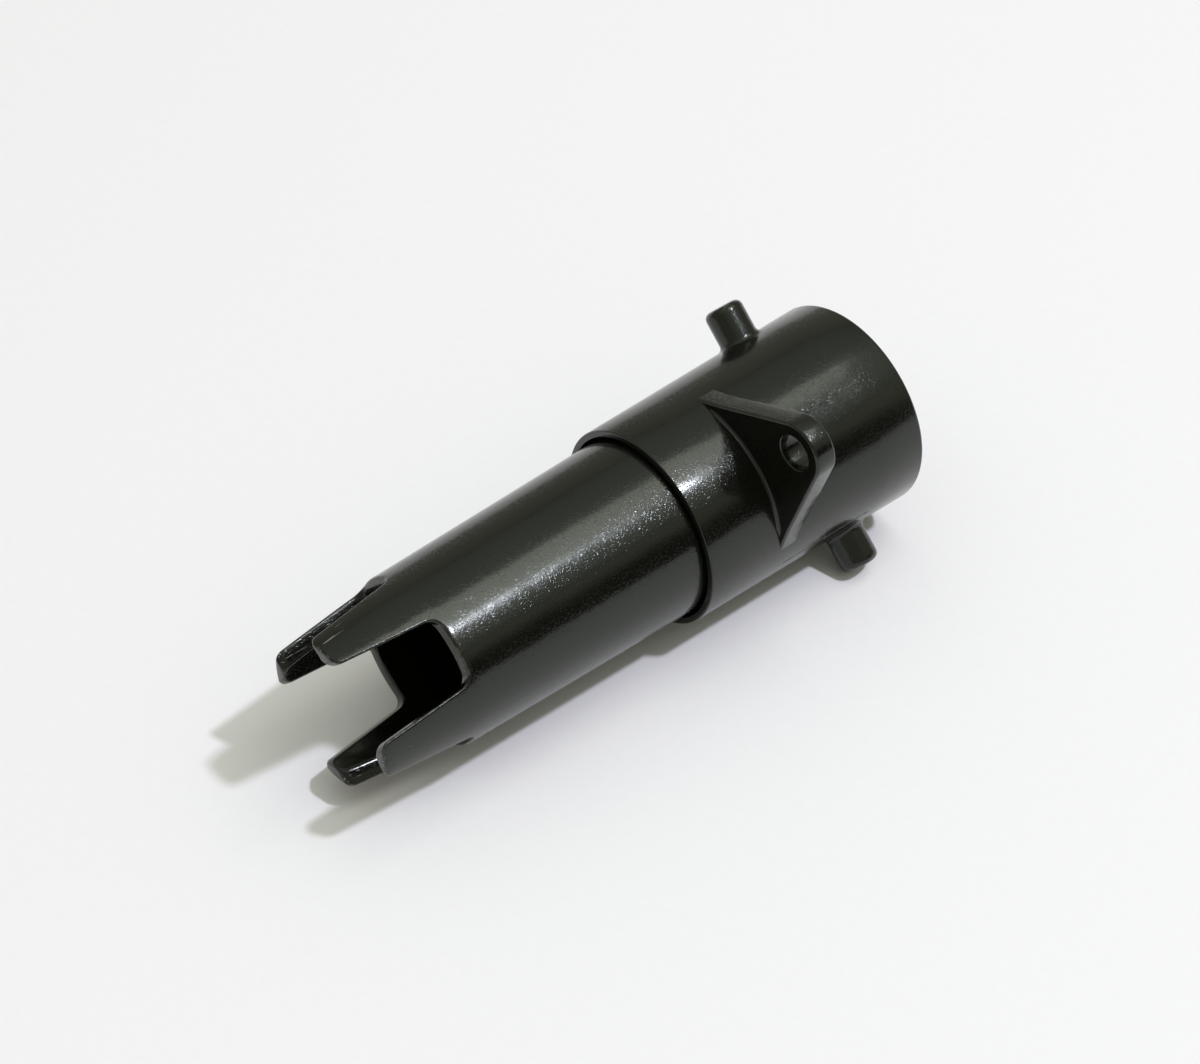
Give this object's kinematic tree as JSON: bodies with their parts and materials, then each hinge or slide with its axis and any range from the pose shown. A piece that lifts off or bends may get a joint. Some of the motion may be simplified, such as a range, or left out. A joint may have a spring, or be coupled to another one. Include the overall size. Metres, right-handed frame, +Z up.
{
  "type": "desoldering pump",
  "caption": "Black pronged nose barrel that slides in a short collar with finger pegs and an eyelet ear; a spring, rod and piston inside make it a small suction pump.",
  "frame": {"origin": "centre of the collar's rear face, on the pump's axis", "axes": "+X along the pump axis towards the nose prongs, +Z up with the part lying on its collar and lower finger peg, +Y towards the side that the ear and the lower peg lean to"},
  "size_m": [0.0874, 0.0359, 0.0363],
  "materials": {
    "black_moulding": "satin, fine moulded grain",
    "dark_cap_plastic": "matt moulded",
    "white_acetal": "satin turned",
    "bronze": "turned",
    "steel": "turned and ground",
    "zinc_steel": "zinc plated",
    "spring_steel": "drawn wire",
    "black_rubber": "matt moulded"
  },
  "bodies": {
    "barrel": {"nose_barrel": "black_moulding", "guide_ring": "white_acetal", "guide_keys": "steel", "end_cap": "dark_cap_plastic", "end_cap_screws": "zinc_steel", "rod_bush": "bronze", "bumper_ring": "black_rubber", "front_spring_washer": "zinc_steel", "nozzle_bush": "bronze", "nozzle_bush_seal": "black_rubber", "nozzle_bush_nut": "bronze"},
    "plunger": {"collar": "black_moulding", "rear_cap": "dark_cap_plastic", "cap_snap_ring": "spring_steel", "thumb_pad": "black_rubber", "piston_rod": "steel", "rear_nut": "zinc_steel", "rear_washer": "zinc_steel", "rear_spring_washer": "zinc_steel", "piston": "white_acetal", "piston_seal": "black_rubber", "piston_nut": "zinc_steel", "piston_washer": "zinc_steel", "cleaning_pin": "steel", "return_spring": "spring_steel"}
  },
  "joints": [
    {"name": "collar_slide", "type": "slide", "parent": "barrel", "child": "plunger", "axis": [1, 0, 0], "range_m": [0, 0.013], "stiffness_N_per_m": 250, "springref_m": -0.02, "deforming": ["return_spring"]}
  ]
}
